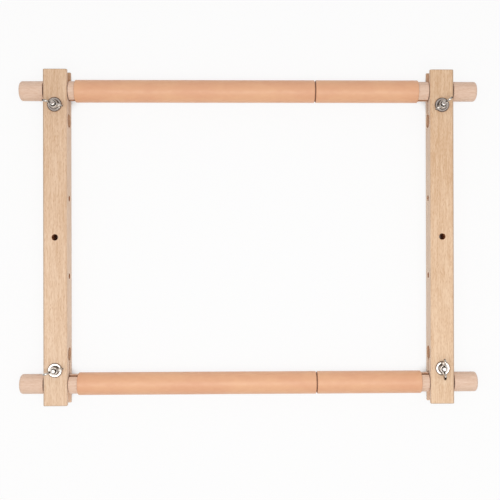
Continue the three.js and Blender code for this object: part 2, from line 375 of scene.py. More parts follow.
woodFigure = makeWoodFigure()
wearAndShadeMasks = makeWearAndShadeMasks()
mottle = makeMottle()


# The masks of wear and of painted shade at a finish's own radius and reach
def useWearAndShade(tree, finish):
    inputs = {"Edge radius": finish["edgeRadius"] * mm, "Crevice reach": finish["creviceReach"] * mm}
    return useGroup(tree, wearAndShadeMasks, inputs)


def newMaterial(name):
    material = bpy.data.materials.new(name)
    material.use_nodes = True
    tree = material.node_tree
    return material, tree, tree.nodes["Principled BSDF"]


def bumped(tree, height, strength, depth):
    inputs = {"Height": height, "Strength": strength, "Distance": depth * mm}
    return addNode(tree, "ShaderNodeBump", inputs).outputs[0]


# Wood: pale and dark tones mixed by the figure, brown flecks, darker end grain, and edges greyed a little,
# partly by handling and partly as painted shade. Painted shade in crevices, corners and some stretches along
# Y, painted light in others and towards -Y, and a painted sheen on the sides. Lengths are in millimetres.
beech = {
    "pith": (0, 0, 0),  # where the tree's middle was, once the grain is turned to lie along Z
    "pale": paint(239, 210, 180),
    "dark": paint(213, 176, 140),
    "fleck": paint(186, 134, 90),
    "endGrainAndArrisShade": paint(168, 138, 114),
    "worn": paint(212, 187, 162),
    "shade": paint(128, 66, 32),  # painted shade in crevices, along the foot of washers and under the clips' gap
    "endShare": 0.6,
    "wornShare": 0.4,
    # how dark painted shade makes the crevices
    "crevice": 0.6,
    "corner": 0.0,  # how dark painted shade makes the foot of a washer
    "arris": 0.0,  # how far painted shade greys the front's outer arris, negative for the one towards -X
    "sides": 0.0,  # how far the faces that look along X go from the front's colour to a paler, greyer one: a painted sheen
    "sideTone": paint(247, 226, 209),
    "shadeAndLightZones": [],  # stretches along Y with painted shade and painted light: from, to, how much, and the colour there
    "line": (0.0, 1.0, 0.0),  # a line of painted shade across the grain, under the clips' gap: its place along X, its width and how dark
    "sheen": 0.25,
    "sheenRoughness": 0.4,
    "rings": 0.18,
    "streaks": 0.75,
    "patches": 0.2,
    "ringWidth": 3.4,
    "wander": 26.0,
    "fleckSize": 1.25,
    "fleckAmount": 0.5,
    "paintedLightFall": 0.0,  # how much paler the wood is painted towards -Y, where the soft box is, and darker towards +Y: painted light
    "paintedLightFallSpan": (140, -150),
    "paintedLightFallMiddle": 0.4,  # the share of that span at which it keeps its tone
    "roughness": (0.52, 0.68),
    "bump": 0.5,
    "bumpDepth": 0.05,
    "fleckDepth": 0.4,
    "edgeRadius": 0.9,
    "creviceReach": 3.0,
}
rollerWood = {
    **beech,
    "pale": paint(240, 212, 190),
    "dark": paint(222, 187, 161),
    "fleck": paint(196, 150, 116),
    "endGrainAndArrisShade": paint(216, 182, 154),
    "ringWidth": 2.6,
    "wander": 18.0,
    "fleckSize": 1.4,
    "fleckAmount": 0.35,
    "bumpDepth": 0.035,
    "crevice": 0.85,
}
beechFront = {
    **beech,
    "corner": 0.55,
    "paintedLightFall": 0.32,
    "sides": 0.15,
    # Painted shade at both ends of the bar
    "shadeAndLightZones": [(end * 147.1, end * 147.9, 0.55, paint(142, 122, 104)) for end in (1, -1)],
}
cutBeech = {
    **beech,
    "pale": paint(226, 190, 158),
    "dark": paint(200, 158, 124),
    "endGrainAndArrisShade": paint(198, 156, 120),
    "fleckAmount": 0.3,
    "roughness": (0.7, 0.85),
    "bumpDepth": 0.12,
    # Painted light on the sawn faces of the lower forks
    "shadeAndLightZones": [(-122.0, -134.0, 0.75, paint(247, 219, 192))],
}
# Drilled and grooved walls: darker and browner, partly the bore's own colour and partly painted shade
drilledBeech = {
    **cutBeech,
    "pale": paint(196, 132, 84),
    "dark": paint(158, 94, 52),
    "endGrainAndArrisShade": paint(148, 86, 46),
    "worn": paint(190, 140, 100),
    "shadeAndLightZones": [],
    "sheen": 0.0,
}

# A grain is its direction, and the turn that lays it along the pattern's Z
alongY = ((0, 1, 0), (math.pi / 2, 0, 0))
alongX = ((1, 0, 0), (0, math.pi / 2, 0))

# The values between which each part of the wood's look goes from 0 to 1
woodLimits = {
    "streaks": (0.36, 0.66),
    "patches": (0.3, 0.7),
    "endOn": (0.55, 0.95),  # how nearly a face looks along the grain
    "onSide": (0.8, 0.97),  # how nearly it looks along X
    "arris": (0.15, 0.45),
}


def makeWood(name, wood, grain):
    material, tree, shader = newMaterial(name)
    coordinate = addNode(tree, "ShaderNodeTexCoord").outputs
    grainAxis, turn = grain
    centre = tuple(-mm * place for place in wood["pith"])
    inputs = {"Vector": coordinate["Object"], "Rotation": turn, "Location": centre}
    turned = addNode(tree, "ShaderNodeMapping", inputs).outputs[0]
    figure = useGroup(tree, woodFigure, {
        "Vector": turned,
        "Ring width": wood["ringWidth"],
        "Wander": wood["wander"],
        "Fleck size": wood["fleckSize"],
    })
    wearAndShade = useWearAndShade(tree, wood)
    rings = times(tree, figure["Rings"], wood["rings"])
    streaks = times(tree, ramp(tree, figure["Fibre"], *woodLimits["streaks"]), wood["streaks"])
    patches = times(tree, ramp(tree, figure["Blotch"], *woodLimits["patches"]), wood["patches"])
    tone = calc(tree, "ADD", calc(tree, "ADD", rings, streaks), patches)
    place = addNode(tree, "ShaderNodeSeparateXYZ", {0: coordinate["Object"]}).outputs
    # Painted light: paler towards -Y, where the soft box is, and darker towards +Y
    top, bottom = wood["paintedLightFallSpan"]
    lower = ramp(tree, place["Y"], top * mm, bottom * mm)
    darker = times(tree, calc(tree, "SUBTRACT", wood["paintedLightFallMiddle"], lower), wood["paintedLightFall"])
    tone = calc(tree, "ADD", tone, darker, clamp=True)
    colour = mixColours(tree, tone, wood["pale"], wood["dark"])
    colour = tinted(tree, colour, figure["Fleck"], wood["fleckAmount"], wood["fleck"])
    facing = vectorCalc(tree, "DOT_PRODUCT", coordinate["Normal"], grainAxis, output="Value")
    endOn = ramp(tree, calc(tree, "ABSOLUTE", facing), *woodLimits["endOn"])
    # Painted shade and painted light in stretches along Y
    for start, end, share, tint in wood["shadeAndLightZones"]:
        colour = tinted(tree, colour, ramp(tree, place["Y"], start * mm, end * mm), share, tint)
    colour = tinted(tree, colour, endOn, wood["endShare"], wood["endGrainAndArrisShade"])
    normal = addNode(tree, "ShaderNodeSeparateXYZ", {0: coordinate["Normal"]}).outputs
    # Painted sheen: a paler, greyer tone on the faces that look along X
    onSide = ramp(tree, calc(tree, "ABSOLUTE", normal["X"]), *woodLimits["onSide"])
    colour = tinted(tree, colour, onSide, wood["sides"], wood["sideTone"])
    # Painted shade on the outer arris, in the end grain's colour
    slant = times(tree, times(tree, normal["X"], normal["Z"]), np.sign(wood["arris"]))
    arris = ramp(tree, slant, *woodLimits["arris"])
    colour = tinted(tree, colour, arris, abs(wood["arris"]), wood["endGrainAndArrisShade"])
    # Edges greyed a little, partly by handling and partly as painted shade
    colour = tinted(tree, colour, wearAndShade["Edge"], wood["wornShare"], wood["worn"])
    # Painted shade: crevices and the foot of washers darkened towards the shade colour
    paintedDark = times(tree, wearAndShade["Corner"], wood["corner"])
    paintedDark = calc(tree, "MAXIMUM", paintedDark, times(tree, wearAndShade["Crevice"], wood["crevice"]))
    # The line under the gap between the clips is painted shade
    middle, width, share = wood["line"]
    fromLine = calc(tree, "ABSOLUTE", calc(tree, "SUBTRACT", place["X"], middle * mm))
    line = times(tree, ramp(tree, fromLine, width / 2 * mm, width / 4 * mm), share)
    height = calc(tree, "SUBTRACT", figure["Fibre"], times(tree, figure["Fleck"], wood["fleckDepth"]))
    giveInputs(tree, shader, {
        "Base Color": mixColours(tree, calc(tree, "MAXIMUM", paintedDark, line), colour, wood["shade"]),
        "Roughness": spread(tree, figure["Fibre"], *wood["roughness"]),
        "Sheen Weight": wood["sheen"],
        "Sheen Roughness": wood["sheenRoughness"],
        "Normal": bumped(tree, height, wood["bump"], wood["bumpDepth"]),
    })
    return material


# Side bars: a beech bar with rounded long edges. The fork at each end is a slot round the roller's neck,
# then a kerf past the bolt to a relief hole.
barShape = {
    "arris": 1.8,
    "endEase": 0.6,
    "cutEase": 0.25,
    "slotRadius": 6.25,
    "kerf": 1.8,
    "reliefRadius": 6.0,
    "reliefDistance": 26.3,  # from the roller's axis
    "boltHoleRadius": 2.3,
    "squareRecess": (5.0, 3.3),  # side and depth, for the bolt's square neck
    "recessCorner": 0.3,
    "standHoleRadius": 2.75,
    "pegHoleRadius": 2.5,
    "pegHoleDepth": 12.0,
    "pegHoleSpacing": 69.0,
    "overrun": 1.0,  # how far a cutter stands proud of the face that it opens
}


# The two bars come from two boards, the right one a little more golden
barWood = {
    "left": {**beechFront, "pith": (60, 90, 0), "arris": -0.45},
    "right": {
        **beechFront,
        "pith": (180, -90, 0),
        "pale": paint(240, 210, 177),
        "dark": paint(214, 175, 136),
        "arris": 0.45,
        "sides": 0.3,
        "sideTone": paint(215, 205, 195),
    },
}


# A rounded rectangle carried along Y, drawn in at both ends by a quarter circle
def barBlank(name, low, high):
    halfWidth, halfLength, halfDepth = (high - low) / 2
    ease = barShape["endEase"]
    quarter = arc(0, 0, ease, 0, 90, 4)
    drawnIn = np.concatenate([ease - quarter[::-1, 0], ease - quarter[:, 0]])
    fromEnd = halfLength - ease + quarter[:, 1]
    places = np.concatenate([-fromEnd[::-1], fromEnd])
    outlines = np.stack([
        roundedRectangle(halfWidth - inset, halfDepth - inset, barShape["arris"] - inset, 8)
        for inset in drawnIn
    ])
    rows = carried(outlines, places)[..., [1, 0, 2]]
    return surface(name, rows + (low + high) / 2, capped=True)


# The keyhole in Z and Y carried along X through the bar. end is +1 at the top and -1 at the bottom.
def forkCutter(low, high, end, rollerAxis):
    slot, relief = barShape["slotRadius"], barShape["reliefRadius"]
    halfKerf = barShape["kerf"] / 2
    slotGap = math.degrees(math.asin(halfKerf / slot))
    reliefGap = math.degrees(math.asin(halfKerf / relief))
    openEnd = high[1] - abs(rollerAxis[1]) + barShape["overrun"]
    keyhole = np.concatenate([
        [(-slot, openEnd)],
        arc(0, 0, slot, 180, 270 - slotGap, 24),
        arc(0, -barShape["reliefDistance"], relief, 90 + reliefGap, 450 - reliefGap, 64),
        arc(0, 0, slot, 270 + slotGap, 360, 24),
        [(slot, openEnd)],
    ])
    outline = np.stack([rollerAxis[1] + end * keyhole[:, 1], rollerAxis[2] + keyhole[:, 0]], axis=1)
    places = [low[0] - barShape["overrun"], high[0] + barShape["overrun"]]
    return surface("fork cutter", carried(np.stack([outline, outline]), places), capped=True)


# A straight drill: a circle at each end, about a centre, with its axis along Z or along X
def drill(centre, radius, start, end, axis="z"):
    rows = turned(np.array([(radius, start), (radius, end)], float), 48)
    rows = rows if axis == "z" else rows[..., [2, 0, 1]]
    return surface("drill", rows + np.array(centre, float), capped=True)


# The blank less its cutters: at each end the fork, the bolt's hole with its square recess and a peg hole,
# and a hole for a stand in the middle. across is -1 for the left bar and 1 for the right one.
def makeBar(side, across):
    node = f"{side}_bar"
    low, high = corners(node)
    middle = (low + high) / 2
    pith = {"pith": barWood[side]["pith"]}
    sanded = makeWood(f"beech_{side}", barWood[side], alongY)
    sawn = makeWood(f"beech_{side}_sawn", cutBeech | pith, alongY)
    drilled = makeWood(f"beech_{side}_drilled", drilledBeech | pith, alongY)
    bar = barBlank(f"{node}_wood", low, high)
    bar.data.materials.append(sanded)
    over = barShape["overrun"]
    inner = high[0] if across < 0 else low[0]
    for row, end in {"top": 1, "bottom": -1}.items():
        rollerAxis = middleOf(f"{row}_roller")
        boltX, boltY = middleOf(f"washer_{row}_{side}")[:2]
        recessSide, recessDepth = barShape["squareRecess"]
        square = roundedRectangle(recessSide / 2, recessSide / 2, barShape["recessCorner"], 3)
        recess = carried(np.stack([square, square]), [low[2] - over, low[2] + recessDepth])[..., [1, 2, 0]]
        peg = (inner, end * barShape["pegHoleSpacing"] / 2, middle[2])
        pegEnds = sorted((across * barShape["pegHoleDepth"], -across * over))
        holes = [
            drill((boltX, boltY, 0), barShape["boltHoleRadius"], low[2] - over, high[2] + over),
            surface("recess", recess + (boltX, boltY, 0), capped=True),
            drill(peg, barShape["pegHoleRadius"], *pegEnds, "x"),
        ]
        cut(bar, forkCutter(low, high, end, rollerAxis), sawn)
        for hole in holes:
            cut(bar, hole, drilled)
    stand = drill((middle[0], middle[1], 0), barShape["standHoleRadius"], low[2] - over, high[2] + over)
    cut(bar, stand, drilled)
    easeEdges(bar, barShape["cutEase"])
    standFor(bar, node)


for side, across in {"left": -1, "right": 1}.items():
    makeBar(side, across)
    print(side, "bar made")

# Rollers: turned from one dowel, with a neck for each fork, domed knobs and a saw groove along the body
rollerShape = {
    "neckRadius": 6.0,
    "neckFillet": 0.4,
    "bodyGap": 0.25,  # from the bar
    "knobGap": 0.7,
    "shoulderRound": 0.5,
    "knobRound": 2.3,
    "knobCrown": 0.5,
    "crownPoints": [(3.6, 0.12), (1.8, 0.03), (0, 0)],  # radius, and distance from the roller's end
    "grooveWidth": 2.0,
    "grooveDepth": 5.0,
    "grooveCorner": 0.25,
    "sawOverrun": 2.0,  # how far the saw stands out of the roller
    "cutEase": 0.15,
    "grooveAngle": {"top": 76, "bottom": 60},  # from the front towards the middle of the frame
    "gapShadeLine": (1.8, 0.8),  # painted shade under the gap between the clips: its width, and how dark
    "sides": 128,
}


# Half of the roller's profile, radius against distance from the middle, which is mirrored for the other half.
# body is where the long middle part ends and knob is where the knob begins.
def rollerProfile(radius, body, knob, end):
    neck, fillet, ease = (rollerShape[k] for k in ("neckRadius", "neckFillet", "shoulderRound"))
    nose = rollerShape["knobRound"]
    crown = end - rollerShape["knobCrown"]
    half = np.concatenate([
        arc(radius - ease, body - ease, ease, 0, 90, 5),
        arc(neck + fillet, body + fillet, fillet, 270, 180, 4),
        arc(neck + fillet, knob - fillet, fillet, 180, 90, 4),
        arc(radius - ease, knob + ease, ease, 270, 360, 5),
        arc(radius - nose, crown - nose, nose, 0, 80, 10),
        [(across, end - back) for across, back in rollerShape["crownPoints"]],
    ])
    return np.concatenate([(half * (1, -1))[::-1], half])


# The profile turned about X, less the saw's section, which is turned to the groove's angle and carried along
# the body. up is 1 for the top roller and -1 for the bottom one.
def makeRoller(row, up):
    node = f"{row}_roller"
    low, high = corners(node)
    axis = (low + high) / 2
    radius = (high[2] - low[2]) / 2
    barLow, barHigh = corners("right_bar")
    body = barLow[0] - rollerShape["bodyGap"]
    knob = barHigh[0] + rollerShape["knobGap"]
    split = (corners(f"{row}_long_clip")[1][0] + corners(f"{row}_short_clip")[0][0]) / 2
    pith = {"pith": (60, 40 * up, 0)}
    # The wood with a line of painted shade under the gap between the clips
    paintedDark = rollerWood | pith | {"line": (split, *rollerShape["gapShadeLine"])}
    wood = makeWood(f"roller_wood_{row}", paintedDark, alongX)
    rows = turned(rollerProfile(radius, body, knob, high[0]), rollerShape["sides"])[..., [2, 0, 1]]
    roller = surface(f"{node}_wood", rows + axis * (0, 1, 1))
    roller.data.materials.append(wood)
    depth, over = rollerShape["grooveDepth"], rollerShape["sawOverrun"]
    angle = up * math.radians(rollerShape["grooveAngle"][row])
    halves = (rollerShape["grooveWidth"] / 2, (depth + over) / 2)
    saw = roundedRectangle(*halves, rollerShape["grooveCorner"], 2, (0, radius + (over - depth) / 2))
    turn = np.array([[math.cos(angle), math.sin(angle)], [-math.sin(angle), math.cos(angle)]])
    groove = carried(np.stack([saw @ turn] * 2), [-body, body])
    groove = surface("groove", groove + axis * (0, 1, 1), capped=True)
    # The groove's walls take that darker wood, partly painted shade
    cut(roller, groove, makeWood(f"roller_groove_{row}", drilledBeech | pith, alongX))
    easeEdges(roller, rollerShape["cutEase"])
    standFor(roller, node)


for row, up in {"top": 1, "bottom": -1}.items():
    makeRoller(row, up)
    print(row, "roller made")

# Clips: a peach-coloured tube, split along its back, which snaps over the roller
clipShape = {
    "wall": 1.05,
    "mouth": 110,  # degrees
    "endRound": 0.8,
    "innerEase": 0.15,
    "waviness": 0.03,
    "waves": [(0.021, 0.4), (0.057, 2.0), (0.13, 1.1)],  # radians per millimetre, and those at the start
    "waveFade": 5.0,  # distance from an end over which the waves die out
    "rowSpacing": 3.0,
    "arcSteps": 72,
}
plastic = {
    "colour": paint(236, 184, 143),
    "rosy": paint(229, 172, 135),
    "worn": paint(243, 203, 175),
    # painted shade, in the clip's corners and the gap between the clips
    "shade": paint(148, 82, 42),
    "wornShare": 0.5,
    "patchShare": 0.7,  # against that of the finer grain
    "spotSize": 4.0,
    "roughness": (0.34, 0.5),
    "sheen": 0.05,
    "sheenRoughness": 0.4,
    "specks": 0.3,  # how high they stand against the die's lines
    "bump": 0.25,
    "bumpDepth": 0.02,
    "edgeRadius": 0.4,
    "creviceReach": 2.0,
}


# Round the outside, over one lip, back round the inside and over the other lip, at the given radii
def clipOutline(outer, inner):
    first = clipShape["mouth"] / 2 - 90
    second = 270 - clipShape["mouth"] / 2
    middle, lip = (outer + inner) / 2, max((outer - inner) / 2, 1e-4)
    end, start = (middle * np.array([math.cos(a), math.sin(a)]) for a in np.radians([second, first]))
    return np.concatenate([
        arc(0, 0, outer, first, second, clipShape["arcSteps"]),
        arc(*end, lip, second, second + 180, 8)[1:-1],
        arc(0, 0, inner, second, first, clipShape["arcSteps"]),
        arc(*start, lip, first + 180, first + 360, 8)[1:-1],
    ])


# The outline is carried along the clip. At each end it closes on the middle of the wall, and the outer
# radius then grows by a quarter circle. Between the ends it swells and shrinks by a few slow waves.
def makeClip(node, material):
    low, high = corners(node)
    axis = (low + high) / 2
    outer = (high[1] - low[1]) / 2
    axis[2] = high[2] - outer
    inner, length = outer - clipShape["wall"], high[0] - low[0]
    ease, rounding = clipShape["innerEase"], clipShape["endRound"]
    steps = np.radians(np.linspace(0, 90, 7))
    edge = rounding * (1 - np.cos(steps))
    grown = rounding * (1 - np.sin(steps))
    between = np.linspace(rounding, length - rounding, int(length / clipShape["rowSpacing"]))[1:-1]
    places = np.concatenate([[0], edge, between, length - edge[::-1], [length]])
    waves = np.mean([np.sin(places * wave + start) for wave, start in clipShape["waves"]], axis=0)
    fromEnd = np.minimum(places, length - places)
    fade = np.clip(fromEnd / clipShape["waveFade"], 0, 1)
    outers = outer + clipShape["waviness"] * (waves - 1) * fade
    outers[1:len(steps) + 1] -= grown
    outers[-len(steps) - 1:-1] -= grown[::-1]
    inners = inner + ease * np.clip(1 - fromEnd / ease, 0, 1)
    outers[[0, -1]] = inners[[0, -1]] = (outers[1] + inners[1]) / 2
    outlines = np.stack([clipOutline(o, i) for o, i in zip(outers, inners)])
    clip = surface(f"{node}_plastic", carried(outlines, places + low[0]) + axis * (0, 1, 1))
    clip.data.materials.append(material)
    standFor(clip, node)


def makePlastic():
    material, tree, shader = newMaterial("peach_plastic")
    place = addNode(tree, "ShaderNodeTexCoord").outputs["Object"]
    longer = stretched(tree, place, (0.5, 1, 1))
    spots = useGroup(tree, mottle, {"Vector": longer, "Size": plastic["spotSize"] * mm})
    wearAndShade = useWearAndShade(tree, plastic)
    drawn = noise(tree, stretched(tree, place, (6, 900, 900)), 1.0)  # faint lines from the die
    patches = times(tree, spots["Patch"], plastic["patchShare"])
    grains = times(tree, spots["Grain"], 1 - plastic["patchShare"])
    colour = mixColours(tree, calc(tree, "ADD", patches, grains), plastic["colour"], plastic["rosy"])
    colour = tinted(tree, colour, wearAndShade["Edge"], plastic["wornShare"], plastic["worn"])
    height = calc(tree, "ADD", drawn, times(tree, spots["Speck"], plastic["specks"]))
    giveInputs(tree, shader, {
        # Painted shade in the corners, as in the gap between the clips
        "Base Color": mixColours(tree, wearAndShade["Corner"], colour, plastic["shade"]),
        "Roughness": spread(tree, spots["Grain"], *plastic["roughness"]),
        "Sheen Weight": plastic["sheen"],
        "Sheen Roughness": plastic["sheenRoughness"],
        "Normal": bumped(tree, height, plastic["bump"], plastic["bumpDepth"]),
    })
    return material


peachPlastic = makePlastic()
for row in ("top", "bottom"):
    for length in ("long", "short"):
        makeClip(f"{row}_{length}_clip", peachPlastic)
    print(row, "clips made")

# Zinc-plated steel: bright, with a fine tumbled grain, painted dark reflection on its edges, and painted
# shade in its corners and where points are marked dark. The wing nuts are cast, and duller.
zinc = {
    "bright": paint(232, 227, 221),
    "dull": paint(186, 179, 171),
    # painted dark reflection on the edges
    "rim": paint(132, 120, 110),
    "darkTone": paint(56, 40, 31),
    "dullShare": 0.5,
    "rimShare": 0.6,
    "cornerShadeShare": 0.9,  # painted shade in the corners
    "spotSize": 1.0,
    "roughness": (0.1, 0.24),
    "bump": 0.2,
    "bumpDepth": 0.02,
    "edgeRadius": 0.3,
    "creviceReach": 1.4,
}
castZinc = {**zinc, "bright": paint(208, 202, 194), "dull": paint(165, 157, 148), "roughness": (0.2, 0.32)}


# How dark each of the piece's points is painted, from 0 to 1, for shade and dark reflection
def markPaintedDark(piece, shares):
    attribute = piece.data.attributes.new("paintedDark", "FLOAT", "POINT")
    attribute.data.foreach_set("value", np.asarray(shares, np.float32))


# The mesh's points as rows of X, Y and Z, in metres
def pointsOf(mesh):
    points = np.empty(len(mesh.vertices) * 3)
    mesh.vertices.foreach_get("co", points)
    return points.reshape(-1, 3)


def makeZinc(name, finish):
    material, tree, shader = newMaterial(name)
    place = addNode(tree, "ShaderNodeTexCoord").outputs["Object"]
    spots = useGroup(tree, mottle, {"Vector": place, "Size": finish["spotSize"] * mm})
    wearAndShade = useWearAndShade(tree, finish)
    colour = tinted(tree, finish["bright"], spots["Grain"], finish["dullShare"], finish["dull"])
    # Painted dark reflection on the edges
    colour = tinted(tree, colour, wearAndShade["Edge"], finish["rimShare"], finish["rim"])
    marked = addNode(tree, "ShaderNodeAttribute", attribute_name="paintedDark").outputs["Fac"]
    # Painted shade in corners, and painted shade and dark reflection where the points are marked
    paintedDark = calc(tree, "MAXIMUM", marked, times(tree, wearAndShade["Corner"], finish["cornerShadeShare"]))
    height = calc(tree, "ADD", spots["Speck"], spots["Grain"])
    giveInputs(tree, shader, {
        "Base Color": mixColours(tree, paintedDark, colour, finish["darkTone"]),
        "Metallic": 1.0,
        "Roughness": spread(tree, spots["Patch"], *finish["roughness"]),
        "Normal": bumped(tree, height, finish["bump"], finish["bumpDepth"]),
    })
    return material


platedSteel = makeZinc("plated_steel", zinc)
castSteel = makeZinc("cast_zinc", castZinc)

# Clamp bolts: a domed head at the back, a square neck and a thread of 0.7 mm pitch
boltShape = {
    "headRadius": 5.5,
    "headHeight": 2.5,
    "headRim": 0.6,
    "rimRound": 0.25,
    "neckHalfSide": 2.2,
    "neckCorner": 2.85,
    "neckEnd": 5.5,
    "neckSlope": 0.2,  # length over which the neck falls away to the shank
    "threadRadius": 2.0,
    "threadDepth": 0.4,
    "pitch": 0.7,
    "stepsPerTurn": 8,
    "threadStart": 7.0,
    "threadSlope": 0.4,  # length over which the shank rises to the thread
    "runOut": 1.2,  # length over which the thread grows to its full depth
    "endChamfer": 0.5,
    "endFlat": 0.8,
    "sides": 48,
}


# Turned rows, whose radius changes round the axis in two stretches. In the neck it is that of a square with
# blunt corners. In the thread it falls below the crest by a triangle wave of height over pitch less turn,
# which starts at half its depth.
def makeBolt(corner):
    node = f"clamp_bolt_{corner}"
    head, headHeight, ease = (boltShape[k] for k in ("headRadius", "headHeight", "rimRound"))
    crest, depth, pitch = (boltShape[k] for k in ("threadRadius", "threadDepth", "pitch"))
    rim = headHeight - boltShape["headRim"]
    sphere = (head ** 2 + rim ** 2) / (2 * rim)
    reach = math.degrees(math.asin((head - ease / 2) / sphere))
    dome = arc(0, sphere, sphere, 270, 270 + reach, 14)
    dome[0, 0] = 0
    neck, neckEnd = boltShape["neckHalfSide"], boltShape["neckEnd"]
    shank = crest - depth / 2
    threadStart, end = boltShape["threadStart"], corners(node)[1][2]
    threadPlaces = np.arange(threadStart, end, pitch / boltShape["stepsPerTurn"])
    profile = np.concatenate([
        dome,
        arc(head - ease, headHeight - ease, ease, 0, 90, 4),
        [(neck, headHeight), (neck, neckEnd - boltShape["neckSlope"])],
        [(shank, neckEnd), (shank, threadStart - boltShape["threadSlope"])],
        np.stack([np.full(len(threadPlaces), crest), threadPlaces], axis=1),
        [(crest, end), (boltShape["endFlat"], end), (0, end)],
    ])
    angles = around(boltShape["sides"])
    rows = turned(profile, boltShape["sides"])
    radius = np.hypot(rows[..., 0], rows[..., 1])
    height = rows[..., 2]
    square = neck / np.maximum(np.abs(np.cos(angles)), np.abs(np.sin(angles)))
    square = np.minimum(square, boltShape["neckCorner"])
    inNeck = (profile[:, 0] == neck)[:, None]
    radius = np.where(inNeck, square, radius)
    phase = (height / pitch - angles / (2 * np.pi)) % 1
    runOut = np.clip((height - threadStart) / boltShape["runOut"], 0.5, 1)
    groove = depth * np.abs(2 * phase - 1) * runOut
    inThread = (profile[:, 0] == crest)[:, None]
    chamfer = crest - np.clip(height - (end - boltShape["endChamfer"]), 0, None)
    radius = np.where(inThread, np.minimum(crest - groove, chamfer), radius)
    rows = np.stack([radius * np.cos(angles), radius * np.sin(angles), height], axis=-1)
    bolt = surface(f"{node}_steel", rows + middleOf(node) * (1, 1, 0))
    bolt.data.materials.append(platedSteel)
    shadeFlats(bolt, 60)
    standFor(bolt, node)


# Washers: a stamped ring with rounded edges
washerShape = {
    "holeRadius": 2.2,
    "edgeRound": 0.35,
    "edgeSteps": 4,
    "sides": 96,
    "darkRings": {3.9: 1.0, 4.15: 1.0, 4.4: 0.0, 5.55: 0.0, 5.8: 0.9, 6.15: 0.9, 6.25: 0.5},  # radius, and how dark it is painted for shade and dark reflection
}


# A rounded rectangle, radius against height, turned about the bolt. Its flat sides have a row at each radius
# where the painted shade and dark reflection change.
def makeWasher(corner):
    node = f"washer_{corner}"
    low, high = corners(node)
    middle = (low + high) / 2
    outer, hole = (high[0] - low[0]) / 2, washerShape["holeRadius"]
    halves = ((outer - hole) / 2, (high[2] - low[2]) / 2)
    steps = washerShape["edgeSteps"]
    section = roundedRectangle(*halves, washerShape["edgeRound"], steps, ((outer + hole) / 2, 0))
    darkRings = np.array(list(washerShape["darkRings"].items()))
    radii = darkRings[:-2, 0]
    over = np.stack([radii[::-1], np.full(len(radii), halves[1])], axis=1)
    front, inner, back = np.split(section, [steps + 1, 3 * (steps + 1)])
    section = np.concatenate([front, over, inner, over[::-1] * (1, -1), back])
    washer = surface(f"{node}_steel", turned(section, washerShape["sides"]) + middle, wrapped=True)
    fromAxis = np.hypot(*(pointsOf(washer.data)[:, :2] / mm - middle[:2]).T)
    markPaintedDark(washer, np.interp(fromAxis, *darkRings.T, left=0))
    washer.data.materials.append(platedSteel)
    shadeFlats(washer, 80)
    standFor(washer, node)


# Wing nuts: a tapered hub and two ears, cast in one
nutShape = {
    "boreRadius": 2.2,
    "footRadius": 4.0,
    "topRadius": 3.5,
    "hubHeight": 5.0,
    "footHeight": 0.8,
    "boreChamfer": 0.3,
    "round": 0.4,
    "wingRoot": 3.0,  # distance from the bolt's axis at which the ears start, inside the hub
    "wingSpan": 18.8,
    "wingHeight": 10.0,
    "lobeRadius": 3.1,
    "wingFoot": 0.9,
    "wingShoulder": 4.6,
    "rootHalf": 1.1,  # half the ear's thickness at the hub
    "tipHalf": 0.7,
    "edgeInset": 0.7,  # how far the ear's outline is drawn in at its faces
    "edgeShare": 0.6,  # the share of the ear's half thickness that this rounds
    "voxel": 0.17,
    "softening": 0.5,
    "softenings": 5,
    # distances from the axis: where the outward ears begin to be painted dark, as dark reflection, and the
    # stretches over which the inward ones and the hub's flank are, and where the flank's painted darkness
    # ends
    "darkOuterTips": {"top_left": 7.0, "top_right": 7.0, "bottom_left": 8.8, "bottom_right": 5.7},
    "darkInnerTips": (8.6, 9.3),
    "darkFlank": (3.45, 3.8),
    "flankEnd": 4.4,
    "flankShare": 0.85,
    "besideEar": (1.1, 1.4),  # distances from the ear's middle over which the flank's painted darkness begins
    "angle": {"top_left": -16.5, "top_right": 36.5, "bottom_left": 17, "bottom_right": 91.3},
}


# The direction from a circle's centre to where a line from the point touches it
def touchAngle(point, centre, radius, side):
    across, up = centre[0] - point[0], centre[1] - point[1]
    spreadAngle = math.asin(radius / math.hypot(across, up))
    return math.degrees(math.atan2(up, across) + side * (spreadAngle + math.pi / 2))


# An ear is its outline in X and Z, drawn in towards its middle as it nears either face by a quarter circle,
# and thinner towards the tip
def wingRows(turn):
    lobeRadius, root, tip = nutShape["lobeRadius"], nutShape["wingRoot"], nutShape["wingSpan"] / 2
    lobe = (tip - lobeRadius, nutShape["wingHeight"] - lobeRadius)
    foot = (root, nutShape["wingFoot"])
    shoulder = (root, nutShape["wingShoulder"])
    start = touchAngle(foot, lobe, lobeRadius, -1)
    end = touchAngle(shoulder, lobe, lobeRadius, 1)
    outline = np.concatenate([[foot], arc(*lobe, lobeRadius, start, end, 40), [shoulder]])
    middle = outline.mean(axis=0)
    quarter = np.radians(np.linspace(0, 90, 6))
    drawnIn = nutShape["edgeInset"] * (1 - np.cos(quarter)) / lobeRadius
    share = np.concatenate([[1], drawnIn[::-1], drawnIn, [1]])
    upper = 1 - nutShape["edgeShare"] * (1 - np.sin(quarter))
    across = np.concatenate([[-1], -upper[::-1], upper, [1]])
    layers = middle + (outline - middle) * (1 - share)[:, None, None]
    along = (layers[..., 0] - root) / (tip - root)
    half = nutShape["rootHalf"] + (nutShape["tipHalf"] - nutShape["rootHalf"]) * along
    rows = np.stack([layers[..., 0], across[:, None] * half, layers[..., 1]], axis=-1)
    return rows * (turn, turn, 1)
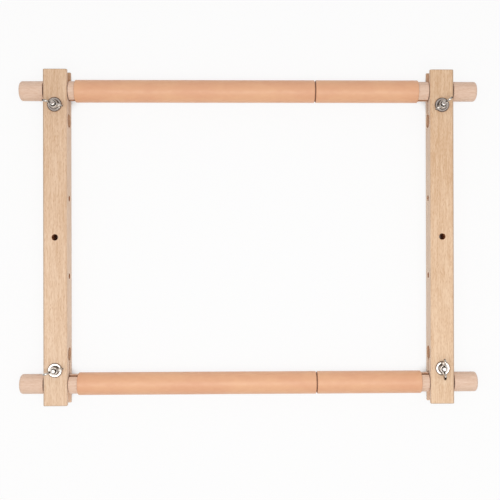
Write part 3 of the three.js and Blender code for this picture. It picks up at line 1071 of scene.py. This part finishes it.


# The hub is a profile turned about the bolt. It and the ears become one skin, which is smoothed and turned to
# its angle. The painted dark reflection is a function of the distance from the axis and, beside the ears,
# from their middle.
def makeWingNut(corner):
    node = f"wing_nut_{corner}"
    low = corners(node)[0]
    bore, foot, top, rounding = (nutShape[k] for k in ("boreRadius", "footRadius", "topRadius", "round"))
    height, chamfer = nutShape["hubHeight"], nutShape["boreChamfer"]
    hubSection = np.concatenate([
        [(bore, chamfer), (bore + chamfer, 0)],
        arc(foot - rounding / 2, rounding / 2, rounding / 2, 270, 360, 4),
        [(foot, nutShape["footHeight"])],
        arc(top - rounding, height - rounding, rounding, 0, 90, 5),
        [(bore + chamfer, height), (bore, height - chamfer)],
    ])
    parts = [surface("hub", turned(hubSection, 96), wrapped=True)]
    parts += [surface("wing", wingRows(turn)) for turn in (1, -1)]
    work = bmesh.new()
    for part in parts:
        work.from_mesh(part.data)
        bpy.data.objects.remove(part)
    mesh = bpy.data.meshes.new(node)
    work.to_mesh(mesh)
    work.free()
    nut = bpy.data.objects.new(f"{node}_steel", mesh)
    scene.collection.objects.link(nut)
    fused = nut.modifiers.new("cast in one", "REMESH")
    fused.mode = "VOXEL"
    fused.voxel_size = nutShape["voxel"] * mm
    softened = nut.modifiers.new("cast corners", "SMOOTH")
    softened.factor = nutShape["softening"]
    softened.iterations = nutShape["softenings"]
    settle(nut)
    angle = math.radians(nutShape["angle"][corner])
    cos, sin = math.cos(angle), math.sin(angle)
    turn = np.array([[cos, sin, 0], [-sin, cos, 0], [0, 0, 1]])
    place = middleOf(f"washer_{corner}") * (1, 1, 0) + (0, 0, low[2])
    points = pointsOf(nut.data)
    fromAxis = np.hypot(points[:, 0], points[:, 1]) / mm
    flank = np.interp(fromAxis, nutShape["darkFlank"], (0, 1)) * (fromAxis < nutShape["flankEnd"])
    flank *= np.interp(np.abs(points[:, 1]) / mm, nutShape["besideEar"], (0, 1))
    outwards = points[:, 0] * (cos * place[0] + sin * place[1]) > 0
    outer = np.clip(fromAxis - nutShape["darkOuterTips"][corner], 0, 1)
    tips = np.where(outwards, outer, np.interp(fromAxis, nutShape["darkInnerTips"], (0, 1)))
    markPaintedDark(nut, np.maximum(flank * nutShape["flankShare"], tips))
    points = points @ turn + place * mm
    nut.data.vertices.foreach_set("co", points.ravel())
    nut.data.update()
    nut.data.shade_smooth()
    nut.data.materials.append(castSteel)
    standFor(nut, node)


for row in ("top", "bottom"):
    for side in ("left", "right"):
        makeBolt(f"{row}_{side}")
        makeWasher(f"{row}_{side}")
        makeWingNut(f"{row}_{side}")
        print(row, side, "clamp made")

# Floor: a pale sheet, with a low pale wall far off. The camera and mirror-like surfaces see them nearly
# white, with the soft shadow kept, but not where the frame nearly touches the floor.
floorLook = {
    "radius": 18.0,
    "wall": 2.6,
    "sides": 64,
    "colour": paint(238, 238, 238),
    "roughness": 0.9,
    "glow": (1.0, 1.0, 1.0, 1.0),
    "lit": 0.88,  # share of the glow in what the camera and mirrors see
    "reach": 0.012,  # in metres
    "clear": (0.15, 0.45),  # how open the floor is where the glow begins and where it is full
}


# A disc, and a ring standing on its rim: points at the radius times cosine and sine, at two heights
def makeFloor():
    angles = around(floorLook["sides"])
    rim = floorLook["radius"] * np.stack([np.cos(angles), np.sin(angles), 0 * angles], axis=1)
    index = np.arange(len(rim))
    beside = np.roll(index, -1)
    wall = np.stack([beside, index, index + len(rim), beside + len(rim)], axis=1).tolist()
    points = np.concatenate([rim, rim + (0, 0, floorLook["wall"])]).tolist()
    mesh = bpy.data.meshes.new("floor")
    mesh.from_pydata(points, [], [index.tolist(), *wall])
    floor = bpy.data.objects.new("floor", mesh)
    scene.collection.objects.link(floor)
    material, tree, shader = newMaterial("floor_paper")
    giveInputs(tree, shader, {
        "Base Color": floorLook["colour"],
        "Roughness": floorLook["roughness"],
        "Specular IOR Level": 0.0,
    })
    rays = addNode(tree, "ShaderNodeLightPath").outputs
    seen = calc(tree, "MAXIMUM", rays["Is Camera Ray"], rays["Is Glossy Ray"])
    seen = calc(tree, "MAXIMUM", seen, rays["Is Transmission Ray"])
    glow = addNode(tree, "ShaderNodeEmission", {"Color": floorLook["glow"], "Strength": 1.0})
    reach = {"Distance": floorLook["reach"]}
    openness = addNode(tree, "ShaderNodeAmbientOcclusion", reach, samples=8).outputs["AO"]
    clear = ramp(tree, openness, *floorLook["clear"])
    share = times(tree, times(tree, seen, floorLook["lit"]), clear)
    mixed = addNode(tree, "ShaderNodeMixShader", {0: share, 1: shader.outputs[0], 2: glow.outputs[0]})
    tree.links.new(mixed.outputs[0], tree.nodes["Material Output"].inputs["Surface"])
    mesh.materials.append(material)


# Light: a large soft box above the lower half, and a room with pale grey walls, dimmer at the bottom, and a
# dim ceiling
softBox = {
    "place": (0.0, -0.14, 0.78),  # it isn't turned, so it points straight down
    "size": (0.96, 0.46),
    "power": 3.42,
}
room = {
    "nearWall": (0.72, 0.72, 0.73, 1.0),
    "farWall": (0.77, 0.77, 0.78, 1.0),
    "skirting": (0.32, 0.3, 0.29, 1.0),
    "ceiling": (0.6, 0.54, 0.52, 1.0),
    "strength": 0.88,
    # stretches of a unit direction, along Y and then along Z, over which one goes to the next
    "nearToFar": (-0.6, 0.6),
    "skirtingTop": (0.05, 0.3),
    "ceilingRim": (0.68, 0.82),
}


def makeSoftBox():
    light = bpy.data.lights.new("soft_box", "AREA")
    light.shape = "RECTANGLE"
    light.size, light.size_y = softBox["size"]
    light.energy = softBox["power"]
    holder = bpy.data.objects.new("soft_box", light)
    holder.location = softBox["place"]
    scene.collection.objects.link(holder)


def makeRoom():
    world = bpy.data.worlds.new("room")
    world.use_nodes = True
    tree = world.node_tree
    direction = addNode(tree, "ShaderNodeTexCoord").outputs["Generated"]
    towards = addNode(tree, "ShaderNodeSeparateXYZ", {0: direction}).outputs
    walls = mixColours(tree, ramp(tree, towards["Y"], *room["nearToFar"]), room["nearWall"], room["farWall"])
    shades = mixColours(tree, ramp(tree, towards["Z"], *room["skirtingTop"]), room["skirting"], walls)
    shades = mixColours(tree, ramp(tree, towards["Z"], *room["ceilingRim"]), shades, room["ceiling"])
    giveInputs(tree, tree.nodes["Background"], {"Color": shades, "Strength": room["strength"]})
    scene.world = world


makeFloor()
makeSoftBox()
makeRoom()
scene.view_settings.view_transform = "Standard"
print("floor and light made")
